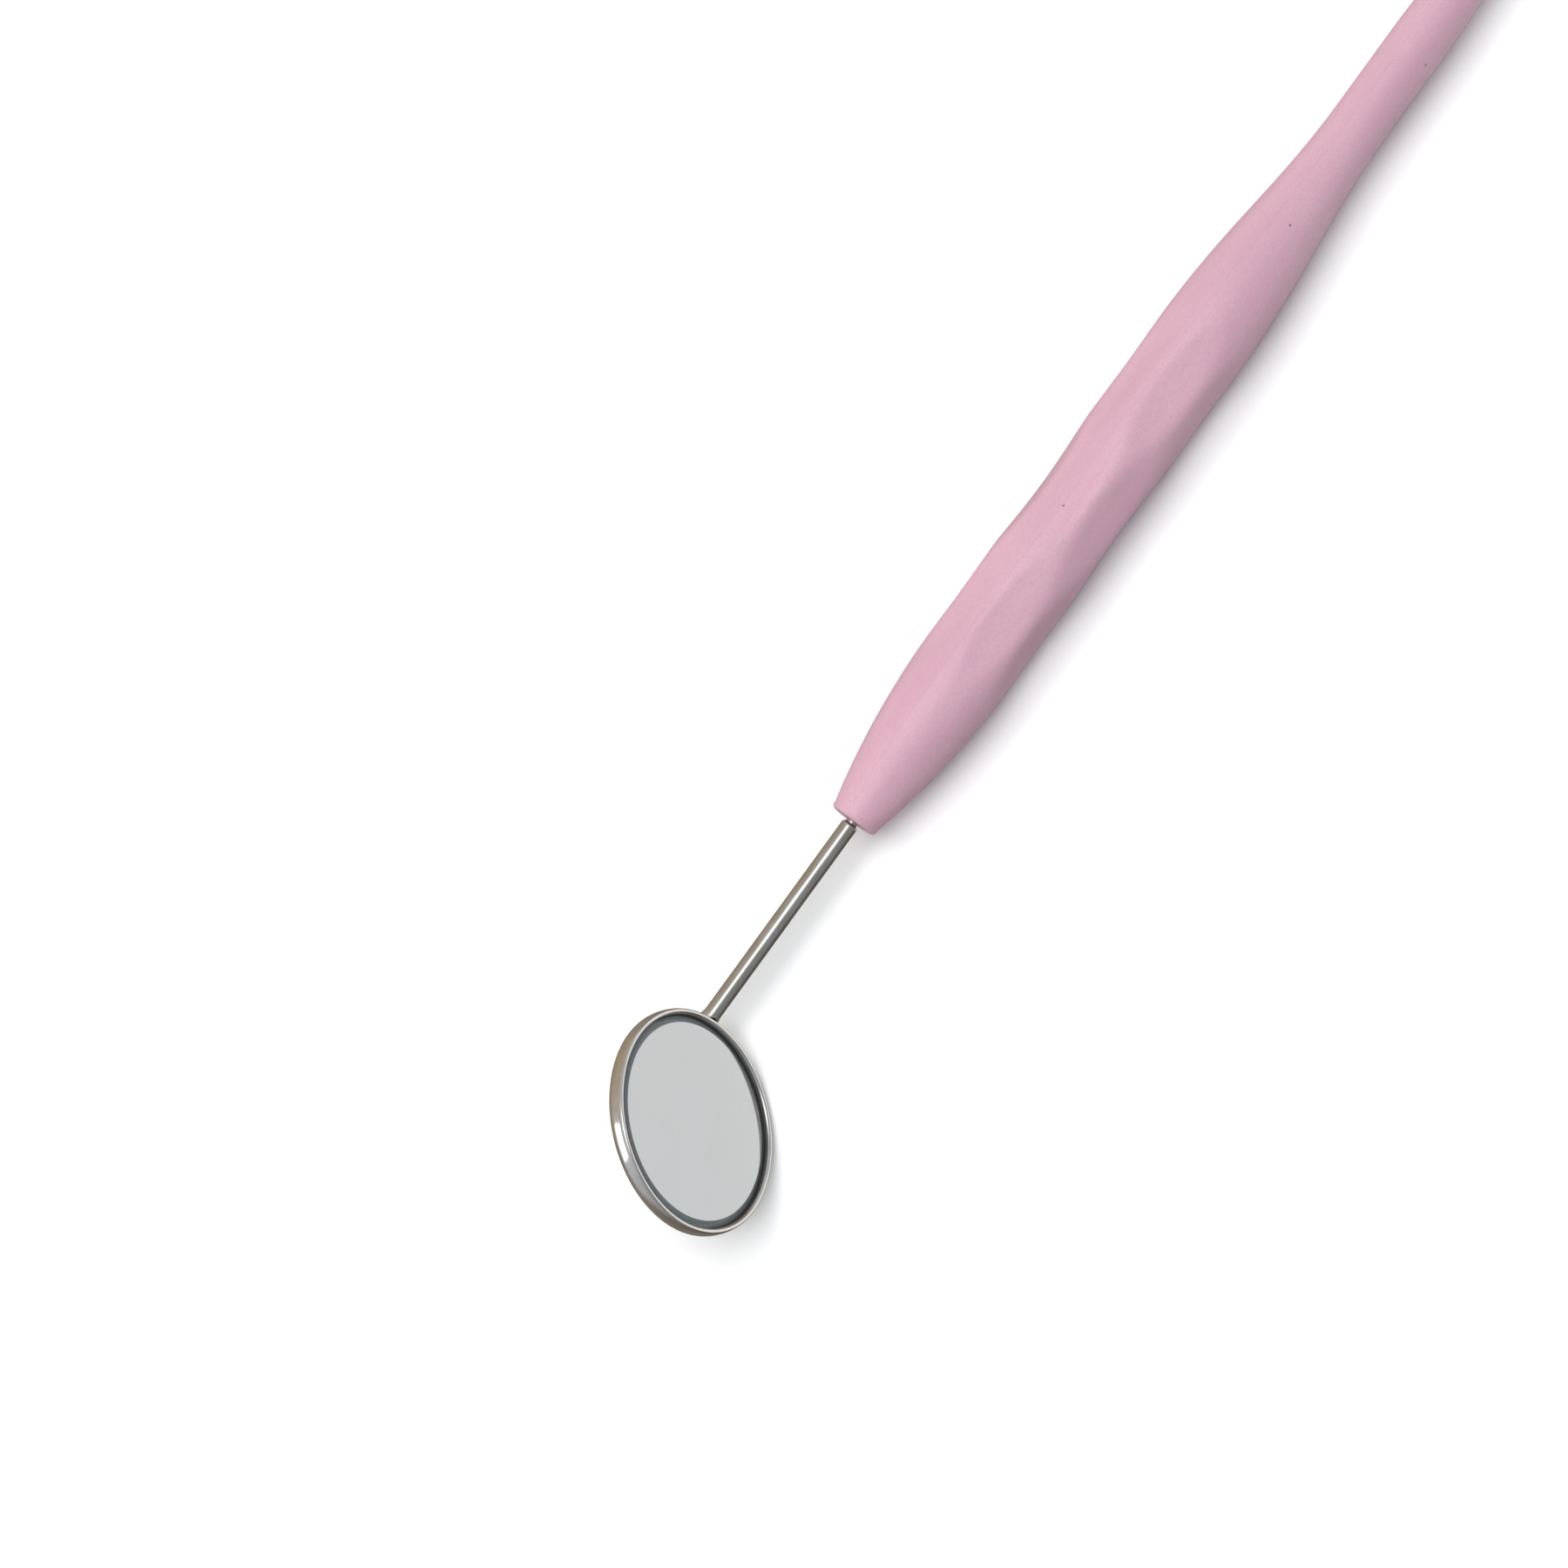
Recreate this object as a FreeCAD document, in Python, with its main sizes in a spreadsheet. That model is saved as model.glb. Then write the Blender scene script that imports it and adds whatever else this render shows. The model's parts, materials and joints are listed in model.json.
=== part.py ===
"""Mouth mirror: a screw-in mirror head on a plain steel stem, in a moulded plastic handle.

Frame, in millimetres: +X runs along the handle from its tail to the mirror, the origin is
the middle of the flat tail face, and +Z is up as the mirror lies on a table. It lies on
its grip and on the edge of the mirror cup, so the head leans over to the +Y side.
"""
import FreeCAD, Part
import math
import os
import Sketcher

V = FreeCAD.Vector
X_AXIS = V(1, 0, 0)
Y_AXIS = V(0, 1, 0)

# Driving dimensions: alias, value in mm (or degrees, or a count), what it is.
SIZES = [
    ("handle_length", 125.0, "tail face to nose face"),
    ("tail_face_radius", 2.3, "flat end of the tail"),
    ("tail_round", 0.9, "rounding round the tail face"),
    ("shaft_radius", 3.25, "slim straight stretch behind the grip"),
    ("shaft_start", 20.0, "tail face to the slim stretch"),
    ("shaft_end", 30.0, "tail face to its far end"),
    ("tail_pull", 8.0, "how far the tail keeps its slope"),
    ("tail_pull_radius", 2.7, "radius that the slope heads for"),
    ("shaft_pull", 6.0, "how softly the tail runs into the slim stretch"),
    ("grip_radius", 5.3, "widest part of the handle"),
    ("grip_start", 61.0, "tail face to the grip"),
    ("grip_end", 103.0, "tail face to the start of the nose"),
    ("swell_back_pull", 12.0, "how softly the slim stretch starts to swell"),
    ("swell_front_pull", 13.0, "how softly the swell runs into the grip"),
    ("nose_back_pull", 7.0, "how softly the grip runs into the nose"),
    ("nose_front_pull", 7.0, "how far the nose keeps its slope"),
    ("nose_pull_radius", 4.45, "radius that the slope heads for"),
    ("nose_face_radius", 2.6, "flat end of the nose"),
    ("nose_round", 0.55, "rounding round the nose face"),
    ("scoop_radius", 67.0, "ball that hollows each finger scoop"),
    ("scoop_depth", 0.5, "depth of a scoop at its middle"),
    ("scoops_in_ring", 6.0, "scoops round the grip"),
    ("scoop_phase", 18.0, "angle of the first scoop from the top"),
    ("front_ring", 26.5, "nose face to the middle of the first ring of scoops"),
    ("ring_pitch", 15.7, "from ring to ring"),
    ("lip_length", 1.2, "plastic in front of the brass insert"),
    ("lip_hole_radius", 1.12, "hole in the nose face"),
    ("insert_length", 8.2, "brass insert"),
    ("insert_radius", 2.0, "outside of the brass insert"),
    ("insert_groove_depth", 0.35, "retaining grooves round the insert"),
    ("insert_groove_width", 1.2, "width of a retaining groove"),
    ("insert_land", 2.0, "full-width stretch before each groove"),
    ("insert_bore_radius", 0.93, "clears the crest of the thread"),
    ("insert_bore_depth", 6.95, "blind bore of the insert"),
    ("moulding_gap", 0.03, "between the insert and the plastic"),
    ("thread_pitch", 0.35, "M1.8 fine thread on the stem"),
    ("thread_turns", 17.0, "turns of thread in the insert"),
    ("thread_crest_radius", 0.9, "outside of the thread"),
    ("thread_root_radius", 0.68, "core of the thread"),
    ("thread_foot", 0.14, "half the width of the ridge at its foot"),
    ("thread_top", 0.03, "half the width of the ridge at its crest"),
    ("thread_sink", 0.05, "how deep the ridge is rooted in the core"),
    ("shank_chamfer", 0.2, "chamfer on the end of the shank"),
    ("shank_end_gap", 0.1, "end of the shank to the floor of the blind bore"),
    ("stem_radius", 0.95, "drawn steel rod"),
    ("stem_chamfer", 0.2, "chamfer on the rod's shoulder"),
    ("shoulder_gap", 0.3, "shoulder in front of the nose face"),
    ("stem_reach", 26.5, "nose face to the wall of the mirror cup"),
    ("head_tilt", 40.0, "between the mirror face and the stem"),
    ("cup_radius", 12.0, "outside of the mirror cup"),
    ("cup_height", 2.1, "back of the cup to the top of its rim"),
    ("cup_wall", 0.65, "sheet of the cup's side"),
    ("cup_floor", 0.35, "sheet of the cup's back"),
    ("cup_edge_round", 0.8, "rounding round the cup's back"),
    ("rim_outer_round", 0.3, "rounding on the outside of the rim"),
    ("rim_inner_round", 0.34, "rounding on the inside of the rim"),
    ("stem_height_on_cup", 0.9, "back of the cup to the stem's axis at the wall"),
    ("bond_thickness", 0.2, "adhesive under the glass"),
    ("glass_radius", 11.2, "mirror glass"),
    ("glass_thickness", 1.1, "mirror glass"),
    ("mirror_face_radius", 10.5, "flat of the glass inside its bevel"),
    ("bevel_drop", 0.3, "depth of the bevel"),
    ("coating_thickness", 0.04, "reflecting layer"),
    ("seal_drop", 0.05, "top of the seal below the foot of the bevel"),
    ("solder_length", 1.5, "solder along the stem"),
    ("solder_radius", 1.5, "solder where it meets the cup"),
    ("solder_overlap", 0.6, "how far the solder runs past the rod's axis on the wall"),
    ("solder_edge", 0.05, "thickness of the solder where it thins out on the rod"),
]


def make_sheet(doc):
    """Put every driving dimension in the spreadsheet under its alias."""
    sheet = doc.addObject("Spreadsheet::Sheet", "Sizes")
    for row, (alias, value, meaning) in enumerate(SIZES, start=1):
        sheet.set(f"A{row}", meaning)
        sheet.set(f"B{row}", str(value))
        sheet.setAlias(f"B{row}", alias)
    doc.recompute()
    return sheet


def size(sheet, words):
    """Value of an expression on the sheet's aliases, such as 'grip_end - grip_start'."""
    total = 0.0
    sign = 1.0
    for word in words.replace("+", " + ").replace("-", " - ").split():
        if word in "+-":
            sign = -1.0 if word == "-" else 1.0
            continue
        amount = float(word) if word[0].isdigit() else float(sheet.get(word))
        total += sign * amount
        sign = 1.0
    return total


def bound(words):
    """The same expression, written for setExpression."""
    terms = words.replace("+", " + ").replace("-", " - ").split()
    return " ".join(w if w in "+-" or w[0].isdigit() else f"Sizes.{w}" for w in terms)


def origin_part(body, role):
    """One of the body's own origin planes or axes."""
    return next(o for o in body.Origin.OriginFeatures if o.Role == role)


def new_body(doc, label):
    """An empty body that carries the node's name."""
    body = doc.addObject("PartDesign::Body", label)
    body.Label = label
    return body


def new_sketch(body, name, role="XZ_Plane"):
    """A sketch on one of the body's origin planes."""
    sketch = body.newObject("Sketcher::SketchObject", name)
    sketch.AttachmentSupport = (origin_part(body, role), [""])
    sketch.MapMode = "FlatFace"
    return sketch


def pin_point(sketch, sheet, geo, point, place):
    """Hold one point of a sketch at a place given by two expressions."""
    for axis, kind, words in ((-2, "DistanceX", place[0]), (-1, "DistanceY", place[1])):
        if words == "0":
            sketch.addConstraint(Sketcher.Constraint("PointOnObject", geo, point, axis))
            continue
        value = size(sheet, words)
        number = sketch.addConstraint(Sketcher.Constraint(kind, -1, 1, geo, point, value))
        sketch.setExpression(f"Constraints[{number}]", bound(words))


def draw_curve(sketch, sheet, poles):
    """A smooth curve held by its four poles; the end poles are on the outline."""
    places = [V(size(sheet, a), size(sheet, b), 0) for a, b in poles]
    curve = Part.BSplineCurve(places, None, None, False, 3, None, False)
    geo = sketch.addGeometry(curve, False)
    sketch.exposeInternalGeometry(geo)
    for count, pole in enumerate(poles, start=1):
        pin_point(sketch, sheet, geo + count, 3, pole)


def draw_line(sketch, sheet, start, end):
    """A straight piece of outline with both ends pinned."""
    ends = [V(size(sheet, a), size(sheet, b), 0) for a, b in (start, end)]
    geo = sketch.addGeometry(Part.LineSegment(*ends), False)
    pin_point(sketch, sheet, geo, 1, start)
    pin_point(sketch, sheet, geo, 2, end)


def draw_outline(sketch, sheet, pieces):
    """Draw a closed outline; each piece lists the points from its start to its end."""
    for piece in pieces:
        if len(piece) == 2:
            draw_line(sketch, sheet, piece[0], piece[1])
        else:
            draw_curve(sketch, sheet, piece)


def straight_sides(points):
    """Join points by straight pieces and close the outline."""
    return [(points[i], points[(i + 1) % len(points)]) for i in range(len(points))]


def turned(body, sheet, name, pieces, axis="H_Axis", kind="PartDesign::Revolution"):
    """Turn an outline round one of its sketch's axes."""
    sketch = new_sketch(body, name + "Outline")
    draw_outline(sketch, sheet, pieces)
    feature = body.newObject(kind, name)
    feature.Profile = sketch
    feature.ReferenceAxis = (sketch, [axis])
    feature.Angle = 360
    sketch.Visibility = False
    return feature


def round_edges(body, feature, name, alias, is_wanted):
    """Round the circular edges of a feature that pass a test on their centre and radius."""
    body.Document.recompute()
    picked = []
    for number, edge in enumerate(feature.Shape.Edges, start=1):
        circle = edge.Curve
        if isinstance(circle, Part.Circle) and is_wanted(circle.Center, circle.Radius):
            picked.append(f"Edge{number}")
    fillet = body.newObject("PartDesign::Fillet", name)
    fillet.Base = (feature, picked)
    fillet.setExpression("Radius", f"Sizes.{alias}")
    return fillet


def make_handle(doc, sheet):
    """Moulded handle: tail, slim stretch, scooped grip, nose, and the bed of the insert."""
    body = new_body(doc, "handle")
    tail = ("0", "tail_face_radius")
    shaft_back = ("shaft_start", "shaft_radius")
    shaft_front = ("shaft_end", "shaft_radius")
    grip_back = ("grip_start", "grip_radius")
    grip_front = ("grip_end", "grip_radius")
    nose = ("handle_length", "nose_face_radius")
    tail_back = ("tail_pull", "tail_pull_radius")
    tail_front = ("shaft_start - shaft_pull", "shaft_radius")
    swell_back = ("shaft_end + swell_back_pull", "shaft_radius")
    swell_front = ("grip_start - swell_front_pull", "grip_radius")
    nose_back = ("grip_end + nose_back_pull", "grip_radius")
    nose_front = ("handle_length - nose_front_pull", "nose_pull_radius")
    pieces = [
        (("0", "0"), tail),
        (tail, tail_back, tail_front, shaft_back),
        (shaft_back, shaft_front),
        (shaft_front, swell_back, swell_front, grip_back),
        (grip_back, grip_front),
        (grip_front, nose_back, nose_front, nose),
        (nose, ("handle_length", "0")),
        (("handle_length", "0"), ("0", "0")),
    ]
    blank = turned(body, sheet, "Blank", pieces)
    rounds = (
        ("NoseRound", "nose_round", "nose_face_radius"),
        ("TailRound", "tail_round", "tail_face_radius"),
    )
    for name, alias, radius_alias in rounds:
        wanted = size(sheet, radius_alias)
        blank = round_edges(body, blank, name, alias, lambda centre, radius: abs(radius - wanted) < 0.01)
    scoops = []
    for ring in range(3):
        scoops.append(cut_scoops(body, sheet, ring))
    bed = cut_insert_bed(body, sheet)
    return body, scoops, bed


def cut_scoops(body, sheet, ring):
    """One ring of shallow oval scoops; every second ring is turned by half a step."""
    step = 360.0 / size(sheet, "scoops_in_ring")
    phase = f"(Sizes.scoop_phase + {ring % 2 * step / 2:g})"
    reach = "(Sizes.grip_radius - Sizes.scoop_depth + Sizes.scoop_radius)"
    ball = body.newObject("PartDesign::SubtractiveSphere", f"Scoop{ring + 1}")
    ball.AttachmentSupport = (origin_part(body, "XY_Plane"), [""])
    ball.MapMode = "FlatFace"
    ball.setExpression("Radius", "Sizes.scoop_radius")
    along = f"Sizes.handle_length - Sizes.front_ring - {ring} * Sizes.ring_pitch"
    ball.setExpression("AttachmentOffset.Base.x", along)
    ball.setExpression("AttachmentOffset.Base.y", f"{reach} * sin({phase} * 1 deg)")
    ball.setExpression("AttachmentOffset.Base.z", f"{reach} * cos({phase} * 1 deg)")
    body.Document.recompute()
    pattern = body.newObject("PartDesign::PolarPattern", f"ScoopRing{ring + 1}")
    pattern.Originals = [ball]
    pattern.Axis = (origin_part(body, "X_Axis"), [""])
    pattern.Angle = 360
    pattern.setExpression("Occurrences", "Sizes.scoops_in_ring")
    body.Tip = pattern
    body.Document.recompute()
    return pattern


def insert_outline(grow=""):
    """Points along the insert's outside, from its closed end, grown by a gap."""
    more = f" + {grow}" if grow else ""
    less = f" - {grow}" if grow else ""
    outer = "insert_radius" + more
    inner = "insert_radius - insert_groove_depth" + more
    points = []
    along = ""
    for groove in range(2):
        start = along + "insert_land"
        end = start + " + insert_groove_width"
        points += [(start + more, outer), (start + more, inner), (end + less, inner), (end + less, outer)]
        along = end + " + "
    return points


def cut_insert_bed(body, sheet):
    """Hollow that the brass insert is moulded into, and the hole in the lip before it."""
    base = "handle_length - lip_length - insert_length"
    back = base + " - moulding_gap"
    front = "handle_length - lip_length + moulding_gap"
    outer = "insert_radius + moulding_gap"
    points = [(back, "0"), (back, outer)]
    points += [(f"{base} + {along}", radius) for along, radius in insert_outline("moulding_gap")]
    points += [(front, outer), (front, "lip_hole_radius")]
    points += [("handle_length + nose_round", "lip_hole_radius"), ("handle_length + nose_round", "0")]
    return turned(body, sheet, "InsertBed", straight_sides(points), kind="PartDesign::Groove")


def make_insert(doc, sheet):
    """Brass insert, closed at the back, that the stem screws into."""
    body = new_body(doc, "thread_insert")
    floor = "insert_length - insert_bore_depth"
    points = [("0", "0"), ("0", "insert_radius")] + insert_outline()
    points += [("insert_length", "insert_radius"), ("insert_length", "insert_bore_radius")]
    points += [(floor, "insert_bore_radius"), (floor, "0")]
    turned(body, sheet, "Sleeve", straight_sides(points))
    body.setExpression("Placement.Base.x", bound("handle_length - lip_length - insert_length"))
    return body


def head_placement(sheet):
    """Place of the mirror cup: middle of its back, its face along its own +Z.

    The cup's own +X points away from the stem. The lean is worked out so that the lowest
    point of the cup's rounded back edge is level with the underside of the grip.
    """
    tilt = math.radians(size(sheet, "head_tilt"))
    radius = size(sheet, "cup_radius")
    grip = size(sheet, "grip_radius")
    edge = size(sheet, "cup_edge_round")
    drop = size(sheet, "stem_height_on_cup")
    # With c the cosine of the lean, the lowest point of the edge lies at
    #   lift * c - ring * sqrt(1 - (cos(tilt) * c) ** 2) - edge = -grip.
    ring = radius - edge
    lift = radius * math.sin(tilt) + (edge - drop) * math.cos(tilt)
    level = grip - edge
    squared = lift ** 2 + (ring * math.cos(tilt)) ** 2
    linear = 2 * lift * level
    constant = level ** 2 - ring ** 2
    cosine = (-linear + math.sqrt(linear ** 2 - 4 * squared * constant)) / (2 * squared)
    lean = math.acos(cosine)
    up = V(0, math.sin(lean), math.cos(lean))
    away = X_AXIS * math.cos(tilt) + up * math.sin(tilt)
    face = up * math.cos(tilt) - X_AXIS * math.sin(tilt)
    joint = X_AXIS * (size(sheet, "handle_length") + size(sheet, "stem_reach"))
    back = joint + away * radius - face * drop
    turn = FreeCAD.Rotation(away, face.cross(away), face, "ZXY")
    return FreeCAD.Placement(back, turn)


def stem_start(sheet):
    """Where the end of the threaded shank lies along the handle."""
    return size(sheet, "handle_length - lip_length - insert_bore_depth + shank_end_gap")


def make_stem(doc, sheet):
    """Drawn rod with a chamfered shoulder and a rolled thread, its end fitted to the cup."""
    body = new_body(doc, "stem")
    nose = "lip_length + insert_bore_depth - shank_end_gap"
    shoulder = nose + " + shoulder_gap"
    end = nose + " + stem_reach + cup_height"
    points = [
        ("0", "0"),
        ("0", "thread_root_radius - shank_chamfer"),
        ("shank_chamfer", "thread_root_radius"),
        (shoulder, "thread_root_radius"),
        (shoulder, "stem_radius - stem_chamfer"),
        (shoulder + " + stem_chamfer", "stem_radius"),
        (end, "stem_radius"),
        (end, "0"),
    ]
    rod = turned(body, sheet, "Rod", straight_sides(points))
    doc.recompute()
    profile = new_sketch(body, "ThreadProfile")
    ridge = [
        ("thread_pitch - thread_foot", "thread_root_radius - thread_sink"),
        ("thread_pitch + thread_foot", "thread_root_radius - thread_sink"),
        ("thread_pitch + thread_top", "thread_crest_radius"),
        ("thread_pitch - thread_top", "thread_crest_radius"),
    ]
    draw_outline(profile, sheet, straight_sides(ridge))
    thread = body.newObject("PartDesign::AdditiveHelix", "Thread")
    thread.Profile = profile
    thread.ReferenceAxis = (profile, ["H_Axis"])
    thread.Mode = 1
    thread.setExpression("Pitch", "Sizes.thread_pitch")
    thread.setExpression("Turns", "Sizes.thread_turns - 1")
    thread.LeftHanded = False
    doc.recompute()
    seat = body.newObject("PartDesign::SubtractiveCylinder", "CupSeat")
    seat.AttachmentSupport = (origin_part(body, "XY_Plane"), [""])
    seat.MapMode = "FlatFace"
    seat.setExpression("Radius", "Sizes.cup_radius")
    seat.setExpression("Height", "2 * Sizes.cup_radius")
    start = FreeCAD.Placement(V(stem_start(sheet), 0, 0), FreeCAD.Rotation())
    below = FreeCAD.Placement(V(0, 0, -size(sheet, "cup_radius")), FreeCAD.Rotation())
    seat.AttachmentOffset = start.inverse() * head_placement(sheet) * below
    body.Placement = start
    return body, rod, thread, seat


def make_head(doc, sheet):
    """The cup, the adhesive, the glass, its reflecting layer and the seal, on one axis."""
    inside = "cup_radius - cup_wall"
    glass_under = "cup_floor + bond_thickness"
    glass_top = glass_under + " + glass_thickness"
    bevel_foot = glass_top + " - bevel_drop"
    outlines = {
        "mirror_cup": [
            ("0", "0"), ("cup_radius", "0"), ("cup_radius", "cup_height"),
            (inside, "cup_height"), (inside, "cup_floor"), ("0", "cup_floor"),
        ],
        "glass_adhesive": [
            ("0", "cup_floor"), ("glass_radius", "cup_floor"),
            ("glass_radius", glass_under), ("0", glass_under),
        ],
        "mirror_glass": [
            ("0", glass_under), ("glass_radius", glass_under), ("glass_radius", bevel_foot),
            ("mirror_face_radius", glass_top), ("0", glass_top),
        ],
        "reflective_coating": [
            ("0", glass_top), ("mirror_face_radius", glass_top),
            ("mirror_face_radius", glass_top + " + coating_thickness"),
            ("0", glass_top + " + coating_thickness"),
        ],
        "rim_seal": [
            ("glass_radius", glass_under), (inside, glass_under),
            (inside, bevel_foot + " - seal_drop"), ("glass_radius", bevel_foot + " - seal_drop"),
        ],
    }
    place = head_placement(sheet)
    bodies = {}
    for label, points in outlines.items():
        body = new_body(doc, label)
        turned(body, sheet, "Turned_" + label, straight_sides(points), axis="V_Axis")
        body.Placement = place
        bodies[label] = body
    soften_cup(bodies["mirror_cup"], sheet)
    return bodies


def soften_cup(body, sheet):
    """Round the cup's back edge and both edges of its rim."""
    cup = size(sheet, "cup_radius")
    inside = size(sheet, "cup_radius - cup_wall")
    height = size(sheet, "cup_height")
    base = body.Tip
    base = round_edges(body, base, "BackRound", "cup_edge_round",
                       lambda centre, radius: abs(radius - cup) < 0.01 and centre.z < 0.01)
    base = round_edges(body, base, "OuterRimRound", "rim_outer_round",
                       lambda centre, radius: abs(radius - cup) < 0.01 and centre.z > height - 0.01)
    base = round_edges(body, base, "InnerRimRound", "rim_inner_round",
                       lambda centre, radius: radius < inside + 0.01 and centre.z > height - 0.01)
    return base


def make_solder(doc, sheet, stem):
    """Silver solder round the stem's end, filling up to the cup's rounded back edge."""
    along = FreeCAD.Rotation(Y_AXIS, 90)
    start = size(sheet, "handle_length + stem_reach + solder_overlap - solder_length")
    cone = doc.addObject("Part::Cone", "SolderCone")
    cone.setExpression("Radius1", "Sizes.stem_radius + Sizes.solder_edge")
    cone.setExpression("Radius2", "Sizes.solder_radius")
    cone.setExpression("Height", "Sizes.solder_length")
    cone.Placement = FreeCAD.Placement(V(start, 0, 0), along)
    around = doc.addObject("Part::Cut", "SolderAroundStem")
    around.Base = cone
    around.Tool = stem
    block = doc.addObject("Part::Cylinder", "CupBlock")
    block.setExpression("Radius", "Sizes.cup_radius")
    block.setExpression("Height", "Sizes.cup_radius")
    block.Placement = head_placement(sheet)
    doc.recompute()
    back_edge = [
        number
        for number, edge in enumerate(block.Shape.Edges, start=1)
        if isinstance(edge.Curve, Part.Circle)
        and (edge.Curve.Center - block.Placement.Base).Length < 0.01
    ]
    edge_round = size(sheet, "cup_edge_round")
    envelope = doc.addObject("Part::Fillet", "CupEnvelope")
    envelope.Base = block
    envelope.Edges = [(number, edge_round, edge_round) for number in back_edge]
    solder = doc.addObject("Part::Cut", "solder_joint")
    solder.Base = around
    solder.Tool = envelope
    solder.Label = "solder_joint"
    return solder


def check(doc, nodes):
    """Stop if any object failed or any node is not one sound solid."""
    for item in doc.Objects:
        if {"Invalid", "Error"} & set(item.State):
            raise RuntimeError(f"{item.Name} failed: {item.State}")
    for node in nodes:
        shape = node.Shape
        if shape.isNull() or not shape.isValid() or len(shape.Solids) != 1:
            raise RuntimeError(f"{node.Label}: {len(shape.Solids)} solids, valid {shape.isValid()}")
        print(f"{node.Label:20s} {shape.Volume:9.2f} mm3  {shape.BoundBox}")


def main():
    doc = FreeCAD.newDocument("MouthMirror")
    sheet = make_sheet(doc)
    handle, scoops, bed = make_handle(doc, sheet)
    insert = make_insert(doc, sheet)
    stem, rod, thread, seat = make_stem(doc, sheet)
    head = make_head(doc, sheet)
    solder = make_solder(doc, sheet, stem)
    doc.recompute()
    nodes = [handle, insert, stem, *head.values(), solder]
    check(doc, nodes)
    print("lean of the head", head_placement(sheet))
    for before, after in zip([rod, thread], [thread, seat]):
        print(after.Name, "changed the volume by", round(after.Shape.Volume - before.Shape.Volume, 3))
    for before, after in zip(scoops, scoops[1:] + [bed]):
        print(after.Name, "changed the volume by", round(after.Shape.Volume - before.Shape.Volume, 3))
    os.makedirs("parts", exist_ok=True)
    for node in nodes:
        node.Shape.exportStep(f"parts/{node.Label}.step")


main()
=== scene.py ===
# %% [markdown]
# # A dental mouth mirror, made piece by piece
# A mouth mirror is a small round mirror in a steel cup, soldered to a thin rod that screws
# into a plastic handle. The measured model of it is loaded first and never changed: it says
# where every piece lies. Each visible piece is then modelled again with finer shapes and a
# finish of its own, exactly where its measured twin is.

# %% Load the measured model
import json
import math
import bpy
from mathutils import Matrix, Vector

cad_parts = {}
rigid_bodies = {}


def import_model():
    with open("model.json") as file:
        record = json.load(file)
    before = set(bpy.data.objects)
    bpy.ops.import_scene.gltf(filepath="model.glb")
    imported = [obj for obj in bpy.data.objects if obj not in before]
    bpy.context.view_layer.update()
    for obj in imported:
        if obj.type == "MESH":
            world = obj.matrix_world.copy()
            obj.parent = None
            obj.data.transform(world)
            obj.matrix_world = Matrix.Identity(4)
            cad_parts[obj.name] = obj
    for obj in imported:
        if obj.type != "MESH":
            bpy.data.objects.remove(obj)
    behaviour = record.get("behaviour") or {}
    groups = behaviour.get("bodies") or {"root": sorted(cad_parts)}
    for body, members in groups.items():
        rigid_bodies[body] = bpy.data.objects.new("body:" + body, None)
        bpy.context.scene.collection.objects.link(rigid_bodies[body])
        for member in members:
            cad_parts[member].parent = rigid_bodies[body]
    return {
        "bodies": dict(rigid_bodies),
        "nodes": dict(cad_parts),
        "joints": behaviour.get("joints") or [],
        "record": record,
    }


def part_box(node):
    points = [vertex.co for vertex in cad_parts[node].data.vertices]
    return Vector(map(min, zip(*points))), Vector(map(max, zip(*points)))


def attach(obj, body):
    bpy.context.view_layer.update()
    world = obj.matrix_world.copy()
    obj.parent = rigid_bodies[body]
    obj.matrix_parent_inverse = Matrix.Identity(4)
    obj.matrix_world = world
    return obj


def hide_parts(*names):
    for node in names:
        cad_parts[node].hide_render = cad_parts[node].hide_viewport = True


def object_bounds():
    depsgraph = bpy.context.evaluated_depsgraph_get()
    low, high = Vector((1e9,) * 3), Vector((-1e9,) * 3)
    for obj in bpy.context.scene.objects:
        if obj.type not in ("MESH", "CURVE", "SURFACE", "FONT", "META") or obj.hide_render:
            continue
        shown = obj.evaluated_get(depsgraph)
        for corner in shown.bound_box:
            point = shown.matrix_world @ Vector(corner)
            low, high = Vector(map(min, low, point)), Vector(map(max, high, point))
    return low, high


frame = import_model()
measured_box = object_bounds()
nodes = frame["nodes"]
MM = 0.001
print("measured box, mm:", [[round(v / MM, 2) for v in corner] for corner in measured_box])

# %% [markdown]
# ## Where the camera stands
# The camera looks steeply down on the table from the mirror's side, with the handle running
# out of the top of the picture. A lens a little longer than normal keeps the round head from
# being stretched. It is placed by its stand point, the way it faces and its roll.

# %% Camera
STAND_POINT = Vector((140.0, 46.0, 276.9)) * MM
HEADING = math.radians(-165.59)
LOOK_DOWN = math.radians(78.52)
ROLL = math.radians(39.77)
LENS = 60.0
SENSOR_WIDTH = 36.0
NEAREST_SEEN = 1 * MM


def add_camera():
    """Stand the camera, face it along its heading and roll it round its own axis."""
    data = bpy.data.cameras.new("camera")
    data.lens = LENS
    data.sensor_width = SENSOR_WIDTH
    data.clip_start = NEAREST_SEEN
    camera = bpy.data.objects.new("camera", data)
    bpy.context.scene.collection.objects.link(camera)
    flat = math.cos(LOOK_DOWN)
    ahead = Vector((math.sin(HEADING) * flat, math.cos(HEADING) * flat, -math.sin(LOOK_DOWN)))
    level = ahead.cross(Vector((0, 0, 1))).normalized()
    over = level.cross(ahead)
    up = over * math.cos(ROLL) + level * math.sin(ROLL)
    right = ahead.cross(up)
    turn = Matrix((right, up, -ahead)).transposed().to_4x4()
    camera.matrix_world = Matrix.Translation(STAND_POINT) @ turn
    bpy.context.scene.camera = camera
    return camera


camera = add_camera()
print("camera faces", [round(v, 3) for v in camera.matrix_world.to_3x3() @ Vector((0, 0, -1))])

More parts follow.
